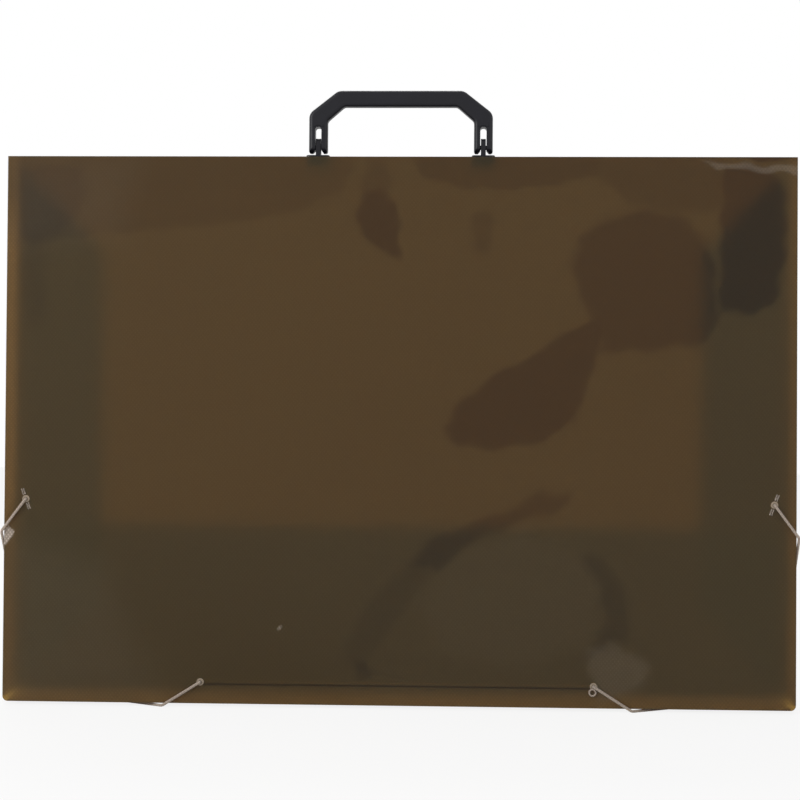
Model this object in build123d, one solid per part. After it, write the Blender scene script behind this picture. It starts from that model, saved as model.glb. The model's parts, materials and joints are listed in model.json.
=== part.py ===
# Carry case for large papers, folded from smoke-brown plastic sheet, in millimetres.
# It stands upright with its handle on top. +X runs along the case, +Z is up, and the
# back, where the elastic is threaded, faces -Y. The origin is under the middle of the case.
from build123d import *
import math
import os

# Case body
case_width = 450.0
case_height = 312.0
case_depth = 30.0
sheet = 1.0
bottom_corner_radius = 3.0

# Folds: panels turn about a line just inside each outer corner
fold_radius = 0.45
fold_clearance = 0.1
mitre_gap = 0.04
layer_gap = 0.3

# Flaps inside the case
side_flap_width = 50.0
bottom_flap_height = 100.0

# Handle
handle_width = 106.0
handle_rise = 40.0
handle_depth = 7.4
bar_thickness = 9.4
leg_width = 10.8
outer_slope_width = 16.8
outer_slope_height = 13.2
inner_slope_width = 9.6
inner_slope_height = 8.4
outer_corner_radius = 6.0
inner_corner_radius = 3.0
handle_edge_radius = 2.2
fork_slot_width = 3.6
fork_slot_top = 18.8
fork_slot_top_radius = 1.6
fork_mouth_flare = 1.4
fork_mouth_height = 2.0
prong_corner_radius = 1.6
brow_gap = 1.0
brow_width = 1.2
brow_rise = 0.5
brow_root = 0.4
brow_half_angle = 50.0

# Handle posts, fixed through the top of the case
tang_side_gap = 0.4
tang_depth = 6.0
tang_rise = 12.5
pivot_rise = 7.3
pivot_diameter = 2.6
pivot_clearance = 0.05
pivot_length = 1.2
pivot_root = 1.0
base_length = 13.4
base_depth = 10.0
base_thickness = 2.4
base_corner_radius = 1.5
base_edge_radius = 0.6
neck_length = 8.0
neck_depth = 4.0
neck_clearance = 0.1
retainer_thickness = 2.2
barb_height = 0.5
barb_lip = 0.5

# Elastic cord and what holds it
cord_diameter = 1.6
cord_gap = 0.1
eyelet_bore_clearance = 0.15
eyelet_wall = 0.6
eyelet_flange_width = 0.55
eyelet_flange = 0.3
eyelet_fit = 0.05
tag_length = 13.0
tag_rod = 0.9
tag_rod_pitch = 1.1
tag_angle = 23.0

# Where the cord passes through the back and over its edges
side_hole_inset = 12.5
side_hole_height = 115.5
bottom_hole_from_middle = 111.5
bottom_hole_height = 12.3
back_edge_height = 97.0
cover_edge_height = 52.6
cover_edge_from_corner = 43.0
back_edge_from_middle = 133.0
edge_bend_radius = 3.0
hole_bend_radius = 1.1

# How far a cut runs past what it cuts
overshoot = 1.0

# Worked out from the sizes above
cord_radius = cord_diameter / 2
standoff = eyelet_flange + cord_gap + cord_radius
case_bottom = standoff + cord_radius
case_top = case_bottom + case_height
back_face = -case_depth / 2
cover_face = case_depth / 2
half_width = case_width / 2
layer = sheet + layer_gap
bottom_wall_depth = case_depth - layer
side_wall_depth = case_depth - 2 * layer
side_wall_bottom = case_bottom + bottom_corner_radius
side_wall_top = case_top - layer
side_wall_height = side_wall_top - side_wall_bottom
side_wall_middle = (side_wall_top + side_wall_bottom) / 2
bottom_wall_length = case_width - 2 * bottom_corner_radius
pivot_height = case_top + pivot_rise
post_spacing = handle_width - leg_width
tang_width = fork_slot_width - 2 * tang_side_gap

right, left = Vector(1, 0, 0), Vector(-1, 0, 0)
front, rear = Vector(0, 1, 0), Vector(0, -1, 0)
up, down = Vector(0, 0, 1), Vector(0, 0, -1)


def fold_plane(corner, along, inward):
    """A plane whose X runs along a panel from its fold and whose Y runs into the sheet."""
    return Plane(origin=corner, x_dir=along, z_dir=along.cross(inward))


def panel_outline(reach, far_end):
    """Section of a panel that starts at a fold: mitred, and free or mitred at its far end."""
    mitre = mitre_gap / math.sqrt(2)
    near = [(fold_radius, 0), (fold_radius, fold_radius - mitre), (sheet + mitre, sheet)]
    far = [(reach, sheet), (reach, 0)]
    if far_end == "folded":
        far = [
            (reach - sheet - mitre, sheet),
            (reach - fold_radius, fold_radius - mitre),
            (reach - fold_radius, 0),
        ]
    section = Polygon(*near, *far, align=None)
    if far_end == "folded":
        section += Pos(reach - fold_radius, fold_radius) * Circle(fold_radius)
    hollow = Circle(fold_radius + fold_clearance)
    return section - Pos(fold_radius, fold_radius) * hollow


def folded_panel(corner, along, inward, reach, length, far_end="free"):
    """A panel that hangs on the fold at corner, runs along for reach and is as long as its fold."""
    plane = fold_plane(corner, along, inward)
    return extrude(plane * panel_outline(reach, far_end), length / 2, both=True)


def fold_trim(corner, along, inward, length):
    """What is taken off a panel's edge where another panel folds against it, and its round."""
    mitre = mitre_gap / math.sqrt(2)
    cut = Polygon(
        (-overshoot, -overshoot),
        (fold_radius, -overshoot),
        (fold_radius, fold_radius - mitre),
        (sheet + mitre, sheet),
        (sheet + mitre, sheet + overshoot),
        (-overshoot, sheet + overshoot),
        align=None,
    )
    bead = Pos(fold_radius, fold_radius) * Circle(fold_radius)
    plane = fold_plane(corner, along, inward)
    return [extrude(plane * face, length / 2, both=True) for face in (cut, bead)]


def rounded_below(panel, radius):
    """A panel standing on Z with its two bottom corners rounded in the XZ plane."""
    edges = panel.edges().filter_by(Axis.Y).group_by(Axis.Z)[0]
    return fillet(edges, radius)


def make_back_panel():
    blank = Pos(0, back_face + sheet / 2, case_bottom + case_height / 2) * Box(
        case_width, sheet, case_height
    )
    blank = rounded_below(blank, bottom_corner_radius)
    folds = [
        (Vector(0, back_face, case_top), down, case_width),
        (Vector(0, back_face, case_bottom), up, bottom_wall_length),
        (Vector(-half_width, back_face, side_wall_middle), right, side_wall_height),
        (Vector(half_width, back_face, side_wall_middle), left, side_wall_height),
    ]
    for corner, along, length in folds:
        cut, bead = fold_trim(corner, along, front, length)
        blank = blank - cut + bead
    for x, z in cord_holes:
        hole = Cylinder(eyelet_hole / 2, sheet + 2 * overshoot)
        blank -= Pos(x, back_face + sheet / 2, z) * Rot(90, 0, 0) * hole
    return blank


def make_spine():
    spine = folded_panel(
        Vector(0, back_face, case_top), front, down, case_depth, case_width, "folded"
    )
    slot = Box(
        neck_length + 2 * neck_clearance,
        neck_depth + 2 * neck_clearance,
        sheet + 2 * overshoot,
    )
    for side in (-1, 1):
        spine -= Pos(side * post_spacing / 2, 0, case_top - sheet / 2) * slot
    return spine


def make_cover():
    cover = folded_panel(Vector(0, cover_face, case_top), down, rear, case_height, case_width)
    return rounded_below(cover, bottom_corner_radius)


def make_side_wall(side):
    corner = Vector(side * half_width, back_face, side_wall_middle)
    inward = Vector(-side, 0, 0)
    return folded_panel(corner, front, inward, side_wall_depth, side_wall_height, "folded")


def make_side_flap(side):
    """A side flap, cut away at 45 degrees above and below so that it opens from behind."""
    corner = Vector(side * half_width, back_face + side_wall_depth, side_wall_middle)
    flap = folded_panel(corner, Vector(-side, 0, 0), rear, side_flap_width, side_wall_height)
    outline = Plane.XZ * Polygon(
        (side * half_width, side_wall_bottom),
        (side * (half_width - side_flap_width), side_wall_bottom + side_flap_width),
        (side * (half_width - side_flap_width), side_wall_top - side_flap_width),
        (side * half_width, side_wall_top),
        align=None,
    )
    return flap & extrude(outline, case_depth, both=True)


def make_bottom_wall():
    corner = Vector(0, back_face, case_bottom)
    return folded_panel(corner, front, up, bottom_wall_depth, bottom_wall_length, "folded")


def make_bottom_flap():
    corner = Vector(0, back_face + bottom_wall_depth, case_bottom)
    flap = folded_panel(corner, up, rear, bottom_flap_height, bottom_wall_length)
    edges = flap.edges().filter_by(Axis.Y).group_by(Axis.Z)[-1]
    return fillet(edges, bottom_corner_radius)


def arch_outline(half, low, top, slope_width, slope_height, radius):
    """One outline of the handle: upright sides, sloped shoulders and a level top."""
    points = [
        (-half, low),
        (-half, top - slope_height),
        (-half + slope_width, top),
        (half - slope_width, top),
        (half, top - slope_height),
        (half, low),
    ]
    shape = Polygon(*points, align=None)
    shoulders = [v for v in shape.vertices() if v.Y > low + overshoot]
    return fillet(shoulders, radius)


def make_handle():
    """An arch with a forked leg at each end, whose prongs carry stub pins for the post between them."""
    low = pivot_height - handle_depth / 2
    top = case_top + handle_rise
    outer = arch_outline(
        handle_width / 2, low, top, outer_slope_width, outer_slope_height, outer_corner_radius
    )
    inner = arch_outline(
        handle_width / 2 - leg_width,
        low - overshoot,
        top - bar_thickness,
        inner_slope_width,
        inner_slope_height,
        inner_corner_radius,
    )
    arch = extrude(Plane.XZ * (outer - inner), handle_depth / 2, both=True)
    rims = arch.faces().filter_by(Axis.Y).edges()
    arch = fillet(rims.filter_by(lambda rim: rim.center().Z > low + overshoot), handle_edge_radius)
    arch = arch & round_ends(top)
    for side in (-1, 1):
        x = side * post_spacing / 2
        arch = arch - fork_slot(x, low)
        for hand in (-1, 1):
            arch = arch + pivot_stub(x, hand)
        for face in (-1, 1):
            arch = arch + make_brow(x, face)
    return arch


def round_ends(top):
    """The space inside which the legs end: round about the pivot, with rounded corners in front."""
    above = Rectangle(handle_width, top - pivot_height)
    outline = Pos(0, (pivot_height + top) / 2) * above
    for side in (-1, 1):
        leg_end = RectangleRounded(leg_width, handle_depth, prong_corner_radius)
        outline += Pos(side * post_spacing / 2, pivot_height) * leg_end
    seen_from_side = Cylinder(handle_depth / 2, handle_width)
    barrel = Pos(0, 0, pivot_height) * Rot(0, 90, 0) * seen_from_side
    barrel += Pos(0, 0, (pivot_height + top) / 2) * Box(handle_width, handle_depth, top - pivot_height)
    return barrel & extrude(Plane.XZ * outline, handle_depth, both=True)


def fork_slot(x, low):
    """The slot between two prongs: rounded at its top and flared at its mouth."""
    half, top = fork_slot_width / 2, case_top + fork_slot_top
    mouth = half + fork_mouth_flare
    outline = Polygon(
        (-mouth, low - overshoot),
        (-mouth, low),
        (-half, low + fork_mouth_height),
        (-half, top),
        (half, top),
        (half, low + fork_mouth_height),
        (mouth, low),
        (mouth, low - overshoot),
        align=None,
    )
    outline = fillet([v for v in outline.vertices() if v.Y > top - overshoot], fork_slot_top_radius)
    return extrude(Plane.XZ * Pos(x, 0) * outline, handle_depth, both=True)


def pivot_stub(x, hand):
    """A stub pin that reaches from inside a prong into the hole of the post's tang."""
    tip = tang_width / 2 - pivot_length
    root = fork_slot_width / 2 + pivot_root
    stub = Cylinder(pivot_diameter / 2, root - tip)
    return Pos(x + hand * (tip + root) / 2, 0, pivot_height) * Rot(0, 90, 0) * stub


def make_brow(x, face):
    """The raised arc that is moulded over a fork slot."""
    inner_radius = fork_slot_width / 2 + brow_gap
    outer_radius = inner_radius + brow_width
    reach = 2 * outer_radius
    spread = reach * math.tan(math.radians(brow_half_angle))
    wedge = Polygon((0, 0), (spread, reach), (-spread, reach), align=None)
    middle = case_top + fork_slot_top - fork_slot_width / 2
    arc = Pos(x, middle) * ((Circle(outer_radius) - Circle(inner_radius)) & wedge)
    level = handle_depth / 2 + brow_rise
    plane = Plane(origin=(0, face * level, 0), x_dir=(1, 0, 0), z_dir=(0, -1, 0))
    return extrude(plane * arc, face * (brow_rise + brow_root))


def make_post(side):
    """A post: tang with its pivot hole, base plate, neck through the sheet and barbed end."""
    x = side * post_spacing / 2
    plate = RectangleRounded(base_length, base_depth, base_corner_radius)
    base = extrude(Pos(x, 0, case_top) * plate, base_thickness)
    base = fillet(base.edges().group_by(Axis.Z)[-1], base_edge_radius)
    inside_base = case_top + base_thickness / 2
    tang_centre = case_top + tang_rise - tang_depth / 2
    tang = Pos(x, 0, (inside_base + tang_centre) / 2) * Box(
        tang_width, tang_depth, tang_centre - inside_base
    )
    tang += Pos(x, 0, tang_centre) * Rot(0, 90, 0) * Cylinder(tang_depth / 2, tang_width)
    hole = Pos(x, 0, pivot_height) * Rot(0, 90, 0) * Cylinder(
        pivot_diameter / 2 + pivot_clearance, tang_width + 2 * overshoot
    )
    neck_low = case_top - sheet - retainer_thickness
    neck = Pos(x, 0, (inside_base + neck_low) / 2) * Box(
        neck_length, neck_depth, inside_base - neck_low
    )
    barb = Pos(x, 0, neck_low - barb_height / 2) * Box(
        neck_length + 2 * barb_lip, neck_depth, barb_height
    )
    return base + (tang - hole) + neck + barb


def make_retainer(side):
    x = side * post_spacing / 2
    plate = RectangleRounded(base_length, base_depth, base_corner_radius)
    plate -= Rectangle(neck_length + 2 * neck_clearance, neck_depth + 2 * neck_clearance)
    return extrude(Pos(x, 0, case_top - sheet) * plate, -retainer_thickness)


def make_eyelets():
    """Four small eyelets pressed through the back, each with a flange on both faces."""
    eyelets = []
    bore = cord_radius + eyelet_bore_clearance
    barrel = bore + eyelet_wall
    for x, z in cord_holes:
        inside = back_face + sheet
        place = Pos(x, back_face + sheet / 2, z) * Rot(90, 0, 0)
        ring = place * Cylinder(barrel, sheet + 2 * eyelet_flange)
        for y in (back_face - eyelet_flange / 2, inside + eyelet_flange / 2):
            ring += Pos(x, y, z) * Rot(90, 0, 0) * Cylinder(barrel + eyelet_flange_width, eyelet_flange)
        ring -= place * Cylinder(bore, sheet + 2 * eyelet_flange + 2 * overshoot)
        eyelets.append(ring)
    return eyelets


def make_tag(side):
    """The folded metal barb on the end of the elastic: two rods side by side, joined by a strip."""
    x, z = side * (half_width - side_hole_inset), case_bottom + side_hole_height
    seat = back_face + sheet + eyelet_flange
    strip = Box(tag_length, tag_rod / 2, tag_rod_pitch)
    tag = Pos(0, tag_rod / 4, 0) * strip
    for offset in (-tag_rod_pitch / 2, tag_rod_pitch / 2):
        tag += Pos(0, tag_rod / 2, offset) * Rot(0, 90, 0) * Cylinder(tag_rod / 2, tag_length)
    return Pos(x, seat, z) * Rot(0, -side * (90 - tag_angle), 0) * tag


def cord_tube(points, radii):
    """A round cord along straight runs joined by tangent arcs."""
    path = FilletPolyline(*points, radius=radii)
    start = Plane(origin=path @ 0, z_dir=path % 0)
    tube = sweep(start * Circle(cord_radius), path=path)
    share = tube.volume / (math.pi * cord_radius**2 * path.length)
    print(f"cord of {path.length:.1f} mm, radii {radii}, volume over section times length {share:.4f}")
    return tube


def make_corner_elastic(side):
    """The stretched elastic round a bottom corner, from its tag to the hole near the bottom."""
    edge_x = side * (half_width + standoff)
    near_y, far_y = back_face - standoff, cover_face + standoff
    under = case_bottom - standoff
    side_x, side_z = side * (half_width - side_hole_inset), case_bottom + side_hole_height
    bottom_x, bottom_z = side * bottom_hole_from_middle, case_bottom + bottom_hole_height
    points = [
        (side_x, back_face + sheet + eyelet_flange, side_z),
        (side_x, near_y, side_z),
        (edge_x, near_y, case_bottom + back_edge_height),
        (edge_x, far_y, case_bottom + cover_edge_height),
        (side * (half_width - cover_edge_from_corner), far_y, under),
        (side * back_edge_from_middle, near_y, under),
        (bottom_x, near_y, bottom_z),
        (bottom_x, back_face + sheet / 2, bottom_z),
    ]
    bends = [hole_bend_radius] + 4 * [edge_bend_radius] + [hole_bend_radius]
    return cord_tube(points, bends)


def make_inner_run():
    """The elastic inside the case, straight from one bottom hole to the other."""
    z = case_bottom + bottom_hole_height
    inside = back_face + sheet + standoff
    middle = back_face + sheet / 2
    points = [
        (-bottom_hole_from_middle, middle, z),
        (-bottom_hole_from_middle, inside, z),
        (bottom_hole_from_middle, inside, z),
        (bottom_hole_from_middle, middle, z),
    ]
    return cord_tube(points, 2 * [hole_bend_radius])


eyelet_hole = 2 * (cord_radius + eyelet_bore_clearance + eyelet_wall + eyelet_fit)
cord_holes = [
    (side * x, case_bottom + z)
    for side in (-1, 1)
    for x, z in (
        (half_width - side_hole_inset, side_hole_height),
        (bottom_hole_from_middle, bottom_hole_height),
    )
]

pieces = {
    "back_panel": make_back_panel(),
    "spine_panel": make_spine(),
    "cover_panel": make_cover(),
    "left_side_wall": make_side_wall(-1),
    "right_side_wall": make_side_wall(1),
    "left_inner_flap": make_side_flap(-1),
    "right_inner_flap": make_side_flap(1),
    "bottom_wall": make_bottom_wall(),
    "bottom_inner_flap": make_bottom_flap(),
    "carry_handle": make_handle(),
    "left_handle_post": make_post(-1),
    "right_handle_post": make_post(1),
    "left_post_retainer": make_retainer(-1),
    "right_post_retainer": make_retainer(1),
    "cord_eyelets": Compound(children=make_eyelets()),
    "left_elastic_tag": make_tag(-1),
    "right_elastic_tag": make_tag(1),
    "left_corner_elastic": make_corner_elastic(-1),
    "right_corner_elastic": make_corner_elastic(1),
    "elastic_inner_run": make_inner_run(),
}

os.makedirs("parts", exist_ok=True)
for name, shape in pieces.items():
    export_step(shape, f"parts/{name}.step")
    print(name, len(shape.solids()), round(shape.volume, 2))
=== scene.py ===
import bpy
import json
import math
import numpy as np
from mathutils import Matrix, Vector


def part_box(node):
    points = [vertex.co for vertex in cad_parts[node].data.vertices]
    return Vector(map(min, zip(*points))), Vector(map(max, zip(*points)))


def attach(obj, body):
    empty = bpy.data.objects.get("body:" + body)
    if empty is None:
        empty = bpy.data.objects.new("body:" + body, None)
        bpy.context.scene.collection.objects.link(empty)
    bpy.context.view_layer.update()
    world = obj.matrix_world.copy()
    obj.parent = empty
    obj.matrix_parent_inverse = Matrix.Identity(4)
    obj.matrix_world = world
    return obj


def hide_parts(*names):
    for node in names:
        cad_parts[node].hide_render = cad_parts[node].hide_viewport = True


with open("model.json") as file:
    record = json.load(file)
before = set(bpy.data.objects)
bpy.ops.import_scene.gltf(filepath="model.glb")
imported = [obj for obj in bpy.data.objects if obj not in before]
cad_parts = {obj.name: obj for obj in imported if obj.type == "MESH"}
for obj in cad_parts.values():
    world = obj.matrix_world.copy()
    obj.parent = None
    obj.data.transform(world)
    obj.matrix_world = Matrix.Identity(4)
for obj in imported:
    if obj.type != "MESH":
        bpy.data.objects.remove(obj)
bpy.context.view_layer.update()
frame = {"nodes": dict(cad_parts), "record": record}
print("frame loaded:", len(frame["nodes"]), "nodes")

# the case's faces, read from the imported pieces; every length below is in metres unless it says mm
backLow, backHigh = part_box("back_panel")
coverLow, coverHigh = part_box("cover_panel")
caseBottom = backLow.z
backFace = backLow.y
coverFace = coverHigh.y
halfWidth = backHigh.x


# materials

def toLinear(hexColour):
    # sRGB hex to the linear value, with full alpha, that Blender's sockets take
    channels = [int(hexColour[i:i + 2], 16) / 255 for i in (1, 3, 5)]
    linear = [c / 12.92 if c <= 0.04045 else ((c + 0.055) / 1.055) ** 2.4 for c in channels]
    return (*linear, 1.0)


def addNode(tree, kind, settings=None, inputs=None):
    # one node, its settings and its inputs, where a socket as a value makes a link
    node = tree.nodes.new(kind)
    for name, value in (settings or {}).items():
        setattr(node, name, value)
    for name, value in (inputs or {}).items():
        if isinstance(value, bpy.types.NodeSocket):
            tree.links.new(value, node.inputs[name])
        else:
            node.inputs[name].default_value = value
    return node


def newMaterial(name):
    material = bpy.data.materials.new(name)
    material.use_nodes = True
    tree = material.node_tree
    tree.nodes.clear()
    output = addNode(tree, "ShaderNodeOutputMaterial")
    return material, tree, output


# polypropylene sheet, extruded in smoke brown and embossed with fine slanting lines: the hatch
# breaks up the shine, the sheet lets an amber light through, and a second sheet behind shows grey
smokeSheetFinish = {
    "veil": "#554c31",        # what the surface gives back
    "paintedDark": "#2a291e",    # painted dark reflection and painted shadow, where the veil is lost
    "whitened": "#a3968a",    # where the sheet is bent or scratched, and where light is painted on it
    "fold": "#846b42",        # painted light, where it leaves at a fold
    "amber": "#d3b97c",       # the tint of what passes through each face
    "through": 0.62,          # share of light that passes one face
    "whitenedStops": 0.5,     # what a whitened place takes off that share
    "haze": 0.56,             # roughness of what is seen through
    "hazeBend": 1.4,
    "roughness": 0.3,
    "ior": 1.49,
    "hatchPitch": 0.0016,     # a real emboss is near 0.5 mm apart, drawn wider so that it shows
    "hatchDepth": 0.00005,
    "hatchSlant": math.radians(40),
    "hatchWaver": 1.2,
    "hatchWaverScale": 1.5,
    "hatchRelief": 0.5,
    "mottle": 0.0012,
    "cloud": 0.1111,
    "evenShade": 0.36,        # the shade that is left where no pattern adds to it
    "hatchShade": 0.9,
    "mottleShade": 0.8,
    "cloudShade": 0.2,
}


def hatchPattern(tree, place):
    # two families of slanting lines, multiplied; Blender's bands are pi / 10 apart at scale 1
    s = smokeSheetFinish
    families = []
    for slant in (s["hatchSlant"], -s["hatchSlant"]):
        turned = addNode(tree, "ShaderNodeMapping", {}, {
            "Vector": place, "Rotation": (0, slant, 0)}).outputs["Vector"]
        families.append(addNode(tree, "ShaderNodeTexWave", {
            "wave_type": "BANDS", "bands_direction": "X"}, {
            "Vector": turned, "Scale": math.pi / 10 / s["hatchPitch"], "Distortion": s["hatchWaver"],
            "Detail": 1.0, "Detail Scale": s["hatchWaverScale"]}).outputs["Fac"])
    return addNode(tree, "ShaderNodeMath", {"operation": "MULTIPLY"}, {
        0: families[0], 1: families[1]}).outputs[0]


def smokeSheet(name, hazy):
    # hazy sheet blurs what is behind it and lets the lamps through, and plain sheet only tints it
    s = smokeSheetFinish
    material, tree, output = newMaterial(name)
    place = addNode(tree, "ShaderNodeTexCoord").outputs["Object"]
    hatch = hatchPattern(tree, place)
    mottle, clouds = [addNode(tree, "ShaderNodeTexNoise", {}, {
        "Vector": place, "Scale": 1 / s[pattern], "Detail": 2.0}).outputs["Fac"]
        for pattern in ("mottle", "cloud")]

    # painted dark reflection and painted shadow take the veil away; the other marks are painted light at
    # the folds, and whitened sheet together with painted light
    marks = {mark: addNode(tree, "ShaderNodeAttribute", {"attribute_name": mark}).outputs["Fac"]
             for mark in ("darkReflectionAndShade", "paintedFoldLight", "whitenedAndLit")}
    colour = toLinear(s["veil"])
    for mark, shown in (("darkReflectionAndShade", "paintedDark"), ("paintedFoldLight", "fold"), ("whitenedAndLit", "whitened")):
        colour = addNode(tree, "ShaderNodeMix", {"data_type": "RGBA"}, {
            "Factor": marks[mark], 6: colour, 7: toLinear(s[shown])}).outputs[2]
    shade = s["evenShade"]
    for pattern, share in ((hatch, s["hatchShade"]), (mottle, s["mottleShade"]), (clouds, s["cloudShade"])):
        shade = addNode(tree, "ShaderNodeMath", {"operation": "MULTIPLY_ADD"}, {
            0: pattern, 1: share, 2: shade}).outputs[0]
    shaded = addNode(tree, "ShaderNodeVectorMath", {"operation": "SCALE"}, {
        0: colour, "Scale": shade}).outputs[0]
    relief = addNode(tree, "ShaderNodeBump", {}, {
        "Height": hatch, "Distance": s["hatchDepth"], "Strength": s["hatchRelief"]}).outputs["Normal"]
    plastic = addNode(tree, "ShaderNodeBsdfPrincipled", {}, {
        "Base Color": shaded, "Roughness": s["roughness"], "IOR": s["ior"],
        "Normal": relief}).outputs["BSDF"]

    clear = addNode(tree, "ShaderNodeBsdfTransparent", {}, {
        "Color": toLinear(s["amber"])}).outputs["BSDF"]
    if hazy:
        blurred = addNode(tree, "ShaderNodeBsdfRefraction", {}, {
            "Color": toLinear(s["amber"]), "Roughness": s["haze"], "IOR": s["hazeBend"]}).outputs["BSDF"]
        shadow = addNode(tree, "ShaderNodeLightPath").outputs["Is Shadow Ray"]
        clear = addNode(tree, "ShaderNodeMixShader", {}, {0: shadow, 1: blurred, 2: clear}).outputs[0]
    passed = addNode(tree, "ShaderNodeMath", {"operation": "MULTIPLY_ADD"}, {
        0: marks["whitenedAndLit"], 1: -s["whitenedStops"], 2: s["through"]}).outputs[0]
    mix = addNode(tree, "ShaderNodeMixShader", {}, {0: passed, 1: plastic, 2: clear}).outputs[0]
    tree.links.new(mix, output.inputs["Surface"])
    return material


# moulded polypropylene, near black with a trace of blue, satin from a lightly sparked mould
blackMouldedFinish = {
    "black": "#09090f",
    "worn": "#12121b",
    "smoothest": 0.33,
    "roughest": 0.49,
    "ior": 1.49,
    "gloss": 0.3,
    "spark": 0.0011,
    "sparkDepth": 0.00004,
    "sparkRelief": 0.5,
    "blotch": 0.0111,
}


def blackMoulded():
    s = blackMouldedFinish
    material, tree, output = newMaterial("blackMouldedPolypropylene")
    place = addNode(tree, "ShaderNodeTexCoord").outputs["Object"]
    spark = addNode(tree, "ShaderNodeTexNoise", {}, {
        "Vector": place, "Scale": 1 / s["spark"], "Detail": 2.0}).outputs["Fac"]
    blotch = addNode(tree, "ShaderNodeTexNoise", {}, {
        "Vector": place, "Scale": 1 / s["blotch"], "Detail": 3.0}).outputs["Fac"]
    colour = addNode(tree, "ShaderNodeMix", {"data_type": "RGBA"}, {
        "Factor": blotch, 6: toLinear(s["black"]), 7: toLinear(s["worn"])}).outputs[2]
    rough = addNode(tree, "ShaderNodeMapRange", {}, {
        "Value": blotch, "To Min": s["smoothest"], "To Max": s["roughest"]}).outputs["Result"]
    relief = addNode(tree, "ShaderNodeBump", {}, {
        "Height": spark, "Distance": s["sparkDepth"], "Strength": s["sparkRelief"]}).outputs["Normal"]
    plastic = addNode(tree, "ShaderNodeBsdfPrincipled", {}, {
        "Base Color": colour, "Roughness": rough, "IOR": s["ior"], "Specular IOR Level": s["gloss"],
        "Normal": relief}).outputs["BSDF"]
    tree.links.new(plastic, output.inputs["Surface"])
    return material


# braided polyester over rubber: matt beige yarn whose crossings show as small lozenges
braidedElasticFinish = {
    "yarn": "#b8a99b",
    "shade": "#75675a",
    "roughness": 0.8,
    "sheen": 0.3,
    "fuzz": 0.0004,
    "fuzzDepth": 0.0001,
    "fuzzRelief": 0.5,
}


def braidedElastic():
    s = braidedElasticFinish
    material, tree, output = newMaterial("braidedElasticYarn")
    place = addNode(tree, "ShaderNodeTexCoord").outputs["Object"]
    height = addNode(tree, "ShaderNodeAttribute", {"attribute_name": "yarn"}).outputs["Fac"]
    fuzz = addNode(tree, "ShaderNodeTexNoise", {}, {"Vector": place, "Scale": 1 / s["fuzz"]}).outputs["Fac"]
    colour = addNode(tree, "ShaderNodeMix", {"data_type": "RGBA"}, {
        "Factor": height, 6: toLinear(s["shade"]), 7: toLinear(s["yarn"])}).outputs[2]
    relief = addNode(tree, "ShaderNodeBump", {}, {
        "Height": fuzz, "Distance": s["fuzzDepth"], "Strength": s["fuzzRelief"]}).outputs["Normal"]
    yarn = addNode(tree, "ShaderNodeBsdfPrincipled", {}, {
        "Base Color": colour, "Roughness": s["roughness"], "Sheen Weight": s["sheen"],
        "Normal": relief}).outputs["BSDF"]
    tree.links.new(yarn, output.inputs["Surface"])
    return material


# nickel-plated steel strip, folded: bright, with faint lines from the rolling
nickelStripFinish = {"nickel": "#cfc8bd", "smoothest": 0.18, "roughest": 0.34, "rolling": 0.00055556}


def nickelStrip():
    s = nickelStripFinish
    material, tree, output = newMaterial("nickelPlatedStrip")
    place = addNode(tree, "ShaderNodeTexCoord").outputs["Object"]
    lines = addNode(tree, "ShaderNodeTexNoise", {}, {
        "Vector": place, "Scale": 1 / s["rolling"]}).outputs["Fac"]
    rough = addNode(tree, "ShaderNodeMapRange", {}, {
        "Value": lines, "To Min": s["smoothest"], "To Max": s["roughest"]}).outputs["Result"]
    metal = addNode(tree, "ShaderNodeBsdfPrincipled", {}, {
        "Base Color": toLinear(s["nickel"]), "Metallic": 1.0, "Roughness": rough}).outputs["BSDF"]
    tree.links.new(metal, output.inputs["Surface"])
    return material


# small clear eyelets of polypropylene that has whitened where it was pressed over
pressedEyeletFinish = {
    "pale": "#a0917e",
    "dull": "#83735f",
    "roughness": 0.35,
    "ior": 1.49,
    "cloud": 0.0011111,
}


def pressedEyelet():
    s = pressedEyeletFinish
    material, tree, output = newMaterial("pressedEyeletPolypropylene")
    place = addNode(tree, "ShaderNodeTexCoord").outputs["Object"]
    clouds = addNode(tree, "ShaderNodeTexNoise", {}, {
        "Vector": place, "Scale": 1 / s["cloud"]}).outputs["Fac"]
    colour = addNode(tree, "ShaderNodeMix", {"data_type": "RGBA"}, {
        "Factor": clouds, 6: toLinear(s["dull"]), 7: toLinear(s["pale"])}).outputs[2]
    plastic = addNode(tree, "ShaderNodeBsdfPrincipled", {}, {
        "Base Color": colour, "Roughness": s["roughness"], "IOR": s["ior"]}).outputs["BSDF"]
    tree.links.new(plastic, output.inputs["Surface"])
    return material


sheetMaterial = smokeSheet("smokePolypropyleneSheet", False)
hazySheetMaterial = smokeSheet("smokePolypropyleneHazySheet", True)
blackMaterial = blackMoulded()
yarnMaterial = braidedElastic()
nickelMaterial = nickelStrip()
eyeletMaterial = pressedEyelet()
slotMaterials = {
    "smoke_sheet": sheetMaterial,
    "black_plastic": blackMaterial,
    "elastic_cord": yarnMaterial,
    "tag_metal": nickelMaterial,
    "eyelet_plastic": eyeletMaterial,
}
for subpart in frame["record"]["subparts"]:
    node = frame["nodes"][subpart["node"]]
    node.data.materials.clear()
    node.data.materials.append(slotMaterials[subpart["material_slot"]])
print("materials made")


# helpers for new pieces

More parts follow.
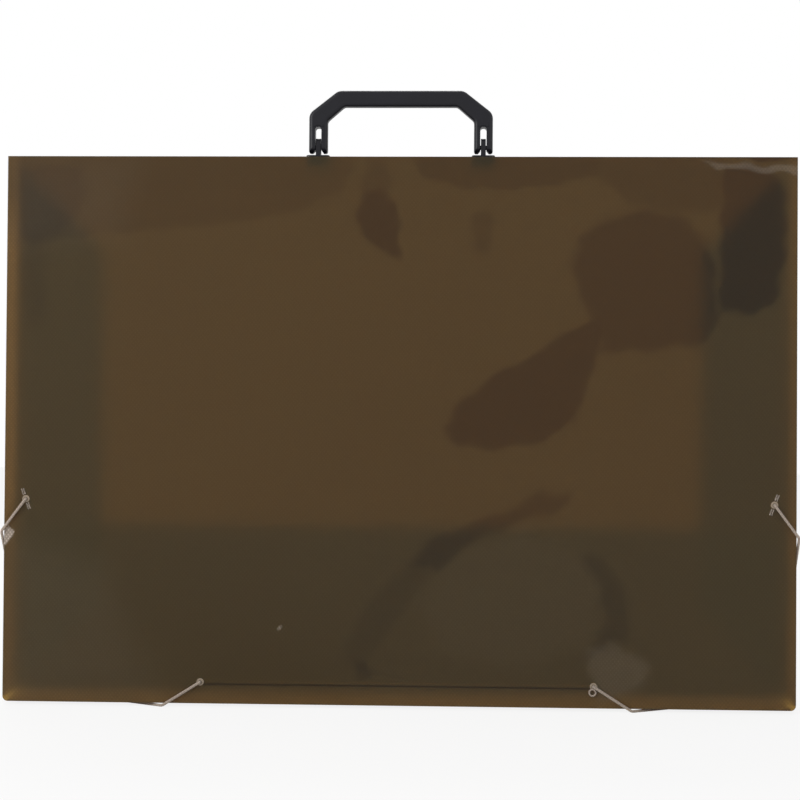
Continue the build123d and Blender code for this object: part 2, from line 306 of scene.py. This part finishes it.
def meshPiece(name, points, faces, material):
    # rows of x, y and z, and rows of corners, all of one length, become a smooth mesh
    mesh = bpy.data.meshes.new(name)
    mesh.vertices.add(len(points))
    mesh.vertices.foreach_set("co", np.ascontiguousarray(points, np.float32).ravel())
    mesh.loops.add(faces.size)
    mesh.loops.foreach_set("vertex_index", np.ascontiguousarray(faces, np.int32).ravel())
    mesh.polygons.add(len(faces))
    mesh.polygons.foreach_set("loop_start", np.arange(0, faces.size, faces.shape[1], dtype=np.int32))
    mesh.polygons.foreach_set("use_smooth", np.full(len(faces), True))
    mesh.update()
    mesh.validate()
    mesh.materials.append(material)
    piece = bpy.data.objects.new(name, mesh)
    bpy.context.scene.collection.objects.link(piece)
    return piece


def gridQuads(shape, closedRows, closedColumns, flipped=False):
    # the quads of a grid of points, whose rows and columns may close on themselves
    index = np.arange(shape[0] * shape[1]).reshape(shape)
    onward, beside = np.roll(index, -1, 0), np.roll(index, -1, 1)
    across = np.roll(onward, -1, 1)
    order = [index, beside, across, onward] if flipped else [index, onward, across, beside]
    quads = np.stack(order, -1)
    return quads[:None if closedRows else -1, :None if closedColumns else -1].reshape(-1, 4)


def paint(piece, name, values):
    piece.data.attributes.new(name, "FLOAT", "POINT").data.foreach_set(
        "value", np.ascontiguousarray(values, np.float32).ravel())


def smoothStep(low, high, x):
    # the cubic that rises from 0 at low to 1 at high
    t = np.clip((x - low) / (high - low), 0, 1)
    return t * t * (3 - 2 * t)


def waveSum(x, z, terms):
    # a sum of sines, where a term is its height, its radians per unit of x and of z, and its start
    return sum(height * np.sin(alongX * x + alongZ * z + start) for height, alongX, alongZ, start in terms)


# the elastic: a round braid, stretched round each bottom corner of the case
elastic = {
    "radius": 0.0008,
    "standoff": 0.0012,       # from the case's faces to the middle of the cord
    "sideHoleInset": 0.0125,
    "sideHoleHeight": 0.1155,
    "bottomHoleFromMiddle": 0.1115,
    "bottomHoleHeight": 0.0123,
    "backEdgeHeight": 0.097,
    "coverEdgeHeight": 0.0526,
    "coverEdgeFromCorner": 0.043,
    "backEdgeFromMiddle": 0.133,
    "eyeletFlange": 0.0003,
    "cornerPoint": 0.0022,    # how near to an edge the route's extra points stand
    "cornerShare": 0.4,       # and how much of the way to the next edge they take at most
    "smoothing": 12,          # steps of the smooth line from one point of the route to the next
    "ringStep": 0.00032,
    "sides": 20,
    "strands": 5,
    "plaitPitch": 0.0036,
    "plaitDepth": 0.13,       # how far the yarns sink between crossings, as a share of the radius
    "endPinch": 0.02,         # size of the last ring at each end, as a share of the radius
    "endShade": 0.3,
}


# the back and the cover: sheets that lie almost flat, with slow waves, round folds and marks
broadSheet = {
    "step": 0.002,
    "evenFrom": 0.004,        # how far in from each edge the evenly spaced lines start
    "closeLines": (0.001, 0.0018, 0.0026),
    "foldLines": 5,
    "foldRadius": 0.00045,
    "cornerRadius": 0.003,
    "sheet": 0.001,
    "waveHeight": 0.00032,
    # each wave's share of that height, its radians per metre along x and z, and its start, which is
    # the sheet's phase times one number plus another
    "waves": (
        (0.36, 21, 13, 1.0, 0), (0.28, -34, 27, 2.1, 1), (0.22, 47, 9, 0.7, 2), (0.14, 12, -68, 1.3, 0)),
    "calmEdge": 0.045,
    "fineStep": 0.001,
    # across the dent at the left fold, up it, and up the pale streak by the top fold
    "fineSpans": ((-0.2225, -0.2185), (0.0905, 0.1045), (0.3033, 0.3093)),
    "backPhase": 0.4,
    "coverPhase": 2.2,
    "coverPaintedDark": 0.4,        # how strongly the cover shows the back's painted dark reflections and its painted fold light
    "coverGlow": 0.5,
}
# places where painted dark reflection and painted shade take away the back's grey veil: strength,
# softness of the rim, then the outline, in mm; outlines that leave the sheet run out past its edge
darkReflectionAndShadePatches = {
    "long oval near the middle": (0.80, 5, [
        (-20, 294), (-9, 297), (-2, 287), (0, 271), (0, 257), (-11, 259), (-20, 268), (-25, 282)]),
    "neck above the oval": (0.35, 6, [(-19, 312), (-7, 312), (-4, 297), (-21, 294)]),
    "small one under the right post": (0.40, 6, [(41, 281), (53, 282), (53, 266), (48, 257), (43, 260)]),
    "top, by the right post": (0.50, 3, [
        (2, 320), (116, 320), (115, 305), (91, 298), (57, 295), (32, 297), (14, 303)]),
    "top, left half": (0.34, 4, [
        (-240, 320), (-27, 320), (-28, 303), (-35, 294), (-53, 284), (-82, 278), (-114, 274), (-174, 269),
        (-206, 264), (-240, 260)]),
    "top left corner": (0.62, 9, [
        (-221, 310), (-181, 310), (-178, 294), (-182, 278), (-195, 267), (-212, 262), (-220, 266)]),
    "under that corner": (0.25, 9, [
        (-220, 266), (-201, 267), (-206, 253), (-202, 237), (-203, 223), (-212, 214), (-217, 237)]),
    "large one at the right": (0.70, 7, [
        (115, 277), (136, 284), (157, 281), (172, 269), (179, 254), (181, 220), (171, 208), (142, 204),
        (116, 203), (113, 220), (102, 235), (98, 254), (103, 268)]),
    "long one below it": (0.78, 5, [
        (118, 227), (114, 203), (105, 180), (102, 166), (84, 153), (58, 148), (36, 149), (27, 158),
        (32, 172), (56, 191), (80, 203), (98, 216)]),
    "above the large one": (0.40, 6, [
        (116, 320), (183, 320), (183, 284), (157, 282), (136, 285), (115, 299)]),
    "over the right flap": (0.85, 6, [
        (182, 309), (210, 309), (218, 292), (219, 261), (212, 230), (198, 225), (181, 226), (182, 261)]),
    "upper part of the sweep": (0.60, 7, [
        (99, 122), (92, 113), (70, 107), (50, 99), (31, 87), (24, 78), (7, 81), (15, 94), (35, 103),
        (58, 112), (81, 123)]),
    "lower part of the sweep": (0.24, 8, [
        (24, 82), (12, 68), (1, 50), (-14, 32), (-23, 23), (-31, 26), (-26, 41), (-17, 58), (-3, 73),
        (10, 84)]),
    "foot of the sweep": (0.50, 4, [(-26, 27), (-17, 28), (-14, 20), (-22, 18)]),
    "arc at the right": (0.38, 8, [
        (106, 88), (118, 86), (127, 70), (132, 53), (129, 41), (115, 32), (104, 30), (113, 41), (118, 54),
        (115, 70), (107, 79)]),
    "top edge, far right": (0.95, 2, [(191, 320), (240, 320), (240, 311), (191, 312.5)]),
}
# paler places, in the same terms: whitened sheet in the small sharp ones, and painted light in the broad
# soft ones
whitenedAndLitPatches = {
    "by the right bottom hole": (0.12, 8, [
        (107, 34), (125, 38), (143, 27), (138, 13), (115, 5), (111, 18)]),
    "between the sweep and the arc": (0.025, 14, [
        (29, 85), (70, 102), (106, 88), (115, 69), (111, 40), (70, 24), (25, 34), (13, 62)]),
    "streak at the top, far right": (0.26, 2, [
        (170, 311.6), (192, 309.9), (240, 308.3), (240, 303.8), (204, 305.4), (179, 308.2)]),
    "dent at the left fold": (0.90, 1, [
        (-226, 99), (-222.9, 103.5), (-220.4, 100.4), (-220.8, 96), (-223, 93), (-226, 91)]),
    "speck": (0.70, 1, [(-67, 42.7), (-67, 44.5), (-65.2, 44.5), (-65.2, 42.7)]),
    "bottom left corner": (0.05, 30, [(-222, 95), (-170, 80), (-140, 12), (-222, 4)]),
    "top left corner": (0.05, 30, [(-222, 312), (-150, 312), (-160, 270), (-222, 262)]),
}
# how far the rims of those places stray along x and along z, as sums of sines in mm
rimStray = {
    "x": [(1.0, 0.12, 0.31, 0), (0.5, 0.55, -0.4, 1)],
    "z": [(1.0, 0.27, -0.1, 2), (0.5, 0.45, 0.5, 0)],
}
# painted light that the sheet pipes to its folds: how far in it shows and how strongly
foldGlow = {
    "left": (0.0095, 0.80),
    "right": (0.0060, 0.35),
    "bottom": (0.0115, 0.55),
    "fullUntil": 0.3,         # share of that reach at full strength
    "brightFrom": 0.090,      # the left fold is brightest between these heights
    "brightTo": 0.300,
    "brightFade": 0.040,
    "dimShare": 0.35,         # and has this share of its strength elsewhere
}
# the shadow line under the elastic that runs inside along the bottom
shadowLine = {"height": 0.0131, "half": 0.0003, "fade": 0.0004, "strength": 0.9}


def softPatches(x, z, patches):
    # the strongest of some patches: strength times a smooth step over the distance inside the outline,
    # read at a place that strays by up to 1.5 mm, so that the rims are uneven
    x, z = 1000 * x, 1000 * z
    x, z = x + waveSum(x, z, rimStray["x"]), z + waveSum(x, z, rimStray["z"])
    total = np.zeros_like(x)
    for strength, softness, outline in patches.values():
        inside = np.zeros(x.shape, bool)
        gap = np.full(x.shape, np.inf)
        for (startX, startZ), (endX, endZ) in zip(outline, outline[1:] + outline[:1]):
            runX, runZ = endX - startX, endZ - startZ
            along = np.clip(((x - startX) * runX + (z - startZ) * runZ) / (runX ** 2 + runZ ** 2), 0, 1)
            gap = np.minimum(gap, np.hypot(x - startX - along * runX, z - startZ - along * runZ))
            level = (startZ > z) != (endZ > z)
            inside ^= level & (x < startX + (z - startZ) * runX / (runZ or 1))
        depth = np.where(inside, gap, -gap)
        total = np.maximum(total, strength * smoothStep(-softness / 2, softness / 2, depth))
    return total


def foldLight(x, z, low, high):
    # the strongest of three bands that fade away from the left, right and bottom folds
    g = foldGlow
    bright = smoothStep(g["brightFrom"], g["brightFrom"] + g["brightFade"], z) * (
        1 - smoothStep(g["brightTo"] - g["brightFade"], g["brightTo"], z))
    leftShare = g["dimShare"] + (1 - g["dimShare"]) * bright
    bands = []
    for distance, (reach, strength), share in (
            (x - low.x, g["left"], leftShare), (high.x - x, g["right"], 1.0),
            (z - low.z, g["bottom"], 1.0)):
        bands.append(strength * share * (1 - smoothStep(g["fullUntil"] * reach, reach, distance)))
    return np.maximum.reduce(bands)


def gridLines(low, high, extra):
    # evenly spaced lines, with close ones at both ends for the round of the fold, and extra ones
    b = broadSheet
    turn = np.linspace(0, math.pi / 2, b["foldLines"])
    ends = np.concatenate([b["foldRadius"] * (1 - np.cos(turn)), b["closeLines"]])
    even = np.linspace(low + b["evenFrom"], high - b["evenFrom"], int((high - low) / b["step"]))
    return np.unique(np.concatenate([low + ends, even, high - ends[::-1], extra]))


def sheetGrid(low, high, marked):
    # the x and z of a sheet's points, and how far its rows are drawn in by the round bottom corners
    b, line = broadSheet, shadowLine
    rows, columns = (), ()
    if marked:
        lineRows = [line["height"] + side * reach for side in (-1, 1)
                    for reach in (line["half"], line["half"] + line["fade"])]
        columns, dentRows, streakRows = (np.arange(*span, b["fineStep"]) for span in b["fineSpans"])
        rows = np.concatenate([lineRows, dentRows, streakRows])
    x, z = np.meshgrid(gridLines(low.x, high.x, columns), gridLines(low.z, high.z, rows), indexing="ij")
    rise = np.clip((low.z + b["cornerRadius"] - z) / b["cornerRadius"], 0, 1)
    drawnIn = b["cornerRadius"] * (1 - np.sqrt(1 - rise ** 2))
    return x * (1 - drawnIn / high.x), z, drawnIn


def paintMarks(piece, x, z, low, high, marked):
    # the back's own marks, or the cover's fainter share of them, on both skins alike
    line = shadowLine
    if marked:
        within = 1 - smoothStep(line["half"], line["half"] + line["fade"], np.abs(z - line["height"]))
        within = within * (np.abs(x) < elastic["bottomHoleFromMiddle"] - elastic["radius"])
        # painted dark reflection, and the painted shadow line under the inner elastic
        darkReflectionAndShade = np.maximum(softPatches(x, z, darkReflectionAndShadePatches), line["strength"] * within)
        # whitened sheet in the small marks, and painted light in the broad soft patches
        whitenedAndLit = softPatches(x, z, whitenedAndLitPatches)
        # painted light at the folds, kept off the painted shadow line
        glow = foldLight(x, z, low, high) * (1 - within)
    else:
        # a fainter, mirrored copy of the back's painted dark reflections
        darkReflectionAndShade = broadSheet["coverPaintedDark"] * softPatches(-x, z, darkReflectionAndShadePatches)
        whitenedAndLit = np.zeros_like(x)
        glow = broadSheet["coverGlow"] * foldLight(x, z, low, high)
    for mark, values in (("darkReflectionAndShade", darkReflectionAndShade), ("whitenedAndLit", whitenedAndLit), ("paintedFoldLight", glow)):
        paint(piece, mark, np.tile(values.ravel(), 2))


def makeBroadSheet(name, low, high, outward, phase, marked):
    # two skins a sheet apart, joined round their rim: y = face + waves, where the outer skin also
    # falls back at the edges on the round of the fold, and the waves are from 90 to 260 mm long
    b = broadSheet
    slowWaves = [(share, alongX, alongZ, times * phase + plus)
                 for share, alongX, alongZ, times, plus in b["waves"]]
    x, z, drawnIn = sheetGrid(low, high, marked)
    edge = np.maximum(np.minimum.reduce([high.x - drawnIn - np.abs(x), high.z - z, z - low.z]), 0)
    waves = b["waveHeight"] * waveSum(x, z, slowWaves) * smoothStep(0, b["calmEdge"], edge)
    near = np.clip(1 - edge / b["foldRadius"], 0, 1)
    fallen = b["foldRadius"] * (1 - np.sqrt(1 - near ** 2))
    face = high.y if outward > 0 else low.y
    skins = [np.stack([x, face + waves - outward * depth, z], -1).reshape(-1, 3)
             for depth in (fallen, b["sheet"])]

    count = x.size
    index = np.arange(count).reshape(x.shape)
    quads = gridQuads(x.shape, False, False)
    rim = np.concatenate([index[:, 0], index[-1, 1:], index[-2::-1, -1], index[0, -2:0:-1]])
    following = np.roll(rim, -1)
    wall = np.stack([rim, rim + count, following + count, following], -1)
    faces = np.concatenate([quads, quads[:, ::-1] + count, wall])
    if outward > 0:
        faces = faces[:, ::-1]
    piece = meshPiece(name, np.concatenate(skins), faces, hazySheetMaterial)
    paintMarks(piece, x, z, low, high, marked)
    return piece


backSheet = makeBroadSheet("backSheet", backLow, backHigh, -1, broadSheet["backPhase"], True)
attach(backSheet, "back")
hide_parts("back_panel")
coverSheet = makeBroadSheet("coverSheet", coverLow, coverHigh, 1, broadSheet["coverPhase"], False)
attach(coverSheet, "cover")
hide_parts("cover_panel")
print("broad sheets made")


def routeWithCorners(points):
    # each inner point gets one more on either side of it, so that a smooth curve keeps close to it
    e = elastic
    route = [points[0]]
    for before, here, after in zip(points, points[1:], points[2:]):
        beside = []
        for other in (before, after):
            reach = min(e["cornerPoint"], e["cornerShare"] * (other - here).length)
            beside.append(here + (other - here).normalized() * reach)
        route += [beside[0], here, beside[1]]
    return route + [points[-1]]


def smoothLine(points):
    # the points of an order 3 NURBS curve along the route
    curve = bpy.data.curves.new("route", "CURVE")
    curve.dimensions = "3D"
    spline = curve.splines.new("NURBS")
    spline.points.add(len(points) - 1)
    for slot, point in zip(spline.points, points):
        slot.co = (*point, 1)
    spline.order_u = 3
    spline.use_endpoint_u = True
    spline.resolution_u = elastic["smoothing"]
    holder = bpy.data.objects.new("route", curve)
    bpy.context.scene.collection.objects.link(holder)
    bpy.context.view_layer.update()
    mesh = bpy.data.meshes.new_from_object(holder)
    line = np.zeros(len(mesh.vertices) * 3, np.float32)
    mesh.vertices.foreach_get("co", line)
    bpy.data.objects.remove(holder)
    bpy.data.curves.remove(curve)
    bpy.data.meshes.remove(mesh)
    return line.reshape(-1, 3).astype(float)


def braidedTube(name, route, aside):
    # rings square to the line, of radius r (1 - depth * sunk), where sunk is the weave of two
    # families of helices, one each way round the cord
    e = elastic
    line = smoothLine(routeWithCorners([Vector(point) for point in route]))
    steps = np.linalg.norm(np.diff(line, axis=0), axis=1)
    travelled = np.concatenate([[0], np.cumsum(steps)])
    count, sides = int(travelled[-1] / e["ringStep"]), e["sides"]
    s = np.linspace(0, travelled[-1], count)
    middle = np.stack([np.interp(s, travelled, line[:, i]) for i in range(3)], -1)
    tangent = np.gradient(middle, axis=0)
    tangent /= np.linalg.norm(tangent, axis=1, keepdims=True)
    across = np.cross(tangent, aside)
    across /= np.linalg.norm(across, axis=1, keepdims=True)
    over = np.cross(tangent, across)

    angle = np.linspace(0, 2 * math.pi, sides, endpoint=False)
    run, turn = np.meshgrid(2 * math.pi * s / e["plaitPitch"], angle, indexing="ij")
    yarn = np.maximum(np.cos(e["strands"] * turn + run), np.cos(e["strands"] * turn - run)) * 0.5 + 0.5
    size = e["radius"] * (1 - e["plaitDepth"] * (1 - yarn))
    rings = middle[:, None] + size[..., None] * (
        np.cos(turn)[..., None] * across[:, None] + np.sin(turn)[..., None] * over[:, None])
    faces = gridQuads(turn.shape, False, True, flipped=True)
    points = rings.reshape(-1, 3)

    # each end is drawn in to a small ring at its middle
    index = np.arange(count * sides).reshape(count, sides)
    for end, ring in ((0, index[0]), (1, index[-1])):
        cap = len(points) + np.arange(sides)
        centre = middle[-end]
        points = np.concatenate([points, centre + e["endPinch"] * (points[ring] - centre)])
        nextCap, nextRing = np.roll(cap, -1), np.roll(ring, -1)
        quad = [ring, nextRing, nextCap, cap] if end else [ring, cap, nextCap, nextRing]
        faces = np.concatenate([faces, np.stack(quad, -1)])
    piece = meshPiece(name, points, faces, yarnMaterial)
    paint(piece, "yarn", np.concatenate([yarn.ravel(), np.full(2 * sides, e["endShade"])]))
    return piece


def cornerRoute(side):
    # from the tag in the side hole, across the back, the side, the cover and the bottom, and in again
    e = elastic
    sideX, sideZ = side * (halfWidth - e["sideHoleInset"]), caseBottom + e["sideHoleHeight"]
    bottomX, bottomZ = side * e["bottomHoleFromMiddle"], caseBottom + e["bottomHoleHeight"]
    edgeX = side * (halfWidth + e["standoff"])
    nearY, farY = backFace - e["standoff"], coverFace + e["standoff"]
    under = caseBottom - e["standoff"]
    return [
        (sideX, backFace + broadSheet["sheet"] + e["eyeletFlange"], sideZ),
        (sideX, nearY, sideZ),
        (edgeX, nearY, caseBottom + e["backEdgeHeight"]),
        (edgeX, farY, caseBottom + e["coverEdgeHeight"]),
        (side * (halfWidth - e["coverEdgeFromCorner"]), farY, under),
        (side * e["backEdgeFromMiddle"], nearY, under),
        (bottomX, nearY, bottomZ),
        (bottomX, backFace + broadSheet["sheet"] / 2, bottomZ),
    ]


def innerRoute():
    # from the middle of one bottom hole, straight along the inside of the back, to the other
    e = elastic
    holeX, z = e["bottomHoleFromMiddle"], caseBottom + e["bottomHoleHeight"]
    middle = backFace + broadSheet["sheet"] / 2
    inside = backFace + broadSheet["sheet"] + e["standoff"]
    return [(-holeX, middle, z), (-holeX, inside, z), (holeX, inside, z), (holeX, middle, z)]


for side, name in ((-1, "left"), (1, "right")):
    cord = braidedTube(name + "CornerElastic", cornerRoute(side), (-side, 1, 0))
    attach(cord, name + "_elastic")
    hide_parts(name + "_corner_elastic")
cord = braidedTube("innerElastic", innerRoute(), (0, 0, 1))
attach(cord, "back")
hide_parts("elastic_inner_run")

# a small ring of spare yarn tied off under the right bottom hole
yarnRing = {
    "radius": 0.0018,
    "yarnRadius": 0.0005,
    "below": 0.0033,
    "aside": -0.0006,
    "lift": 1.3,              # from the back to the middle of the yarn, in yarn radii
    "around": 40,
    "sides": 12,
    "twists": 9,
    "twistTurns": 2,
    "twistDepth": 0.12,
    "shade": 0.6,
    "shadeSwing": 0.4,
}


def makeYarnRing():
    # a torus that lies on the back, with a small ripple for the twist of its yarn
    r = yarnRing
    way, turn = np.meshgrid(np.linspace(0, 2 * math.pi, r["around"], endpoint=False),
                            np.linspace(0, 2 * math.pi, r["sides"], endpoint=False), indexing="ij")
    ripple = np.cos(r["twists"] * way + r["twistTurns"] * turn)
    reach = r["radius"] + r["yarnRadius"] * (1 + r["twistDepth"] * ripple) * np.cos(turn)
    points = np.stack([
        elastic["bottomHoleFromMiddle"] + r["aside"] + reach * np.cos(way),
        backFace + r["yarnRadius"] * (np.sin(turn) - r["lift"]),
        caseBottom + elastic["bottomHoleHeight"] - r["below"] + reach * np.sin(way)], -1)
    ring = meshPiece("tiedYarnRing", points.reshape(-1, 3), gridQuads(way.shape, True, True), yarnMaterial)
    paint(ring, "yarn", r["shade"] + r["shadeSwing"] * ripple)
    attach(ring, "back")


makeYarnRing()
print("elastic made")


# ridges that the two rods of each metal tag press into the back, above and below the hole
tagRidge = {
    "radius": 0.00045,
    "pitch": 0.0011,
    "from": 0.0023,
    "to": 0.0063,
    "slant": math.radians(20),
    "rings": 25,
    "sides": 12,
    "endPinch": 0.02,         # size of the last ring at each end, as a share of the radius
    "whitened": 0.75,
}


def makeTagRidges(side, name):
    # rods with round ends: the radius follows the half circle near both ends
    r = tagRidge
    hole = np.array([side * (halfWidth - elastic["sideHoleInset"]), backFace,
                     caseBottom + elastic["sideHoleHeight"]])
    way = np.array([side * math.sin(r["slant"]), 0, math.cos(r["slant"])])
    aside = np.array([way[2], 0, -way[0]])
    out = np.array([0, -1, 0])
    length = r["to"] - r["from"]
    share, turn = np.meshgrid(0.5 - 0.5 * np.cos(np.linspace(0, math.pi, r["rings"])),
                              np.linspace(0, 2 * math.pi, r["sides"], endpoint=False), indexing="ij")
    pastRound = np.clip(np.abs(share - 0.5) * length - length / 2 + r["radius"], 0, None)
    size = r["radius"] * np.sqrt(np.maximum(1 - (pastRound / r["radius"]) ** 2, r["endPinch"] ** 2))
    ringShape = (size * np.cos(turn))[..., None] * aside + (size * np.sin(turn))[..., None] * out
    quads = gridQuads(turn.shape, False, True, flipped=True)
    points, faces = [], []
    for half in (-1, 1):
        for row in (-0.5, 0.5):
            start = hole + row * r["pitch"] * aside + half * r["from"] * way
            rod = start + (half * length * share)[..., None] * way + ringShape
            faces.append((quads if half < 0 else quads[:, ::-1]) + len(points) * turn.size)
            points.append(rod.reshape(-1, 3))
    piece = meshPiece(name, np.concatenate(points), np.concatenate(faces), hazySheetMaterial)
    paint(piece, "whitenedAndLit", np.full(len(piece.data.vertices), r["whitened"]))
    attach(piece, "back")


makeTagRidges(-1, "leftTagRidges")
makeTagRidges(1, "rightTagRidges")
print("tag ridges made")


# camera, fitted to the edges of the case's back in the photograph
photoView = {
    "place": (0.0398, -1.0350, 0.1583),
    "yaw": -0.0379,
    "tilt": 0.0167,
    "roll": 0.0072,
    "focalPixels": 1797.6,
    "framePixels": 800,
    "sensor": 36.0,
    "nearest": 0.02,
}


def makeCamera():
    v = photoView
    forward = Vector((math.sin(v["yaw"]) * math.cos(v["tilt"]),
                      math.cos(v["yaw"]) * math.cos(v["tilt"]), math.sin(v["tilt"])))
    level = Vector((math.cos(v["yaw"]), -math.sin(v["yaw"]), 0))
    above = level.cross(forward)
    right = level * math.cos(v["roll"]) + above * math.sin(v["roll"])
    up = above * math.cos(v["roll"]) - level * math.sin(v["roll"])
    data = bpy.data.cameras.new("photoCamera")
    data.sensor_fit = "HORIZONTAL"
    data.sensor_width = v["sensor"]
    data.lens = v["focalPixels"] * v["sensor"] / v["framePixels"]
    data.clip_start = v["nearest"]
    camera = bpy.data.objects.new("photoCamera", data)
    turn = Matrix((right, up, -forward)).transposed().to_4x4()
    camera.matrix_world = Matrix.Translation(v["place"]) @ turn
    bpy.context.scene.collection.objects.link(camera)
    bpy.context.scene.camera = camera


makeCamera()


# the pale studio: a paper floor, lamps, and white that the camera, mirrors and clear things see
studio = {
    "floorSize": 6.0,
    "paper": "#f4f3f1",
    "white": "#ffffff",
    "floorWhite": 0.86,       # share of white that shows on the floor, so that shadows stay faint
    "ambient": 0.5,
    # where each lamp stands, what it aims at, its width and height, and its watts
    "lamps": {
        "keyLamp": ((-1.3, -1.1, 0.8), (0, 0, 0.18), (0.9, 0.7), 14),
        "fillLamp": ((1.3, -1.0, 0.6), (0, 0, 0.15), (0.9, 0.9), 2),
        "backLamp": ((-0.2, 1.2, 1.7), (0, 0, 0.15), (1.4, 0.8), 13),
    },
}


def seenRays(tree):
    # 1 for the rays in which the white background shows: from the camera, mirrored or passed on
    rays = addNode(tree, "ShaderNodeLightPath").outputs
    passed = addNode(tree, "ShaderNodeMath", {"operation": "MAXIMUM"}, {
        0: rays["Is Camera Ray"], 1: rays["Is Transmission Ray"]}).outputs[0]
    return addNode(tree, "ShaderNodeMath", {"operation": "MAXIMUM"}, {
        0: passed, 1: rays["Is Glossy Ray"]}).outputs[0]


def makeFloor():
    size = studio["floorSize"]
    mesh = bpy.data.meshes.new("studioFloor")
    mesh.from_pydata([(-size, -size, 0), (size, -size, 0), (size, size, 0), (-size, size, 0)],
                     [], [(0, 1, 2, 3)])
    floor = bpy.data.objects.new("studioFloor", mesh)
    bpy.context.scene.collection.objects.link(floor)
    material, tree, output = newMaterial("studioPaper")
    paper = addNode(tree, "ShaderNodeBsdfDiffuse", {}, {"Color": toLinear(studio["paper"])}).outputs["BSDF"]
    glow = addNode(tree, "ShaderNodeEmission", {}, {"Color": toLinear(studio["white"])}).outputs[0]
    share = addNode(tree, "ShaderNodeMath", {"operation": "MULTIPLY"}, {
        0: seenRays(tree), 1: studio["floorWhite"]}).outputs[0]
    mix = addNode(tree, "ShaderNodeMixShader", {}, {0: share, 1: paper, 2: glow}).outputs[0]
    tree.links.new(mix, output.inputs["Surface"])
    mesh.materials.append(material)


def makeWorld():
    # white at the ambient strength for the light it gives, and at full strength for the seen rays
    world = bpy.data.worlds.new("studioWorld")
    bpy.context.scene.world = world
    world.use_nodes = True
    tree = world.node_tree
    tree.nodes.clear()
    output = addNode(tree, "ShaderNodeOutputWorld")
    soft, white = [addNode(tree, "ShaderNodeBackground", {}, {
        "Color": toLinear(studio["white"]), "Strength": strength}).outputs["Background"]
        for strength in (studio["ambient"], 1.0)]
    mix = addNode(tree, "ShaderNodeMixShader", {}, {0: seenRays(tree), 1: soft, 2: white}).outputs[0]
    tree.links.new(mix, output.inputs["Surface"])


def makeLamp(name, place, aim, size, watts):
    data = bpy.data.lights.new(name, "AREA")
    data.shape = "RECTANGLE"
    data.size, data.size_y = size
    data.energy = watts
    lamp = bpy.data.objects.new(name, data)
    lamp.location = place
    lamp.rotation_euler = (Vector(aim) - Vector(place)).to_track_quat("-Z", "Y").to_euler()
    bpy.context.scene.collection.objects.link(lamp)


makeFloor()
makeWorld()
for lampName, lampTerms in studio["lamps"].items():
    makeLamp(lampName, *lampTerms)
bpy.context.scene.view_settings.view_transform = "Standard"
print("camera and studio made")
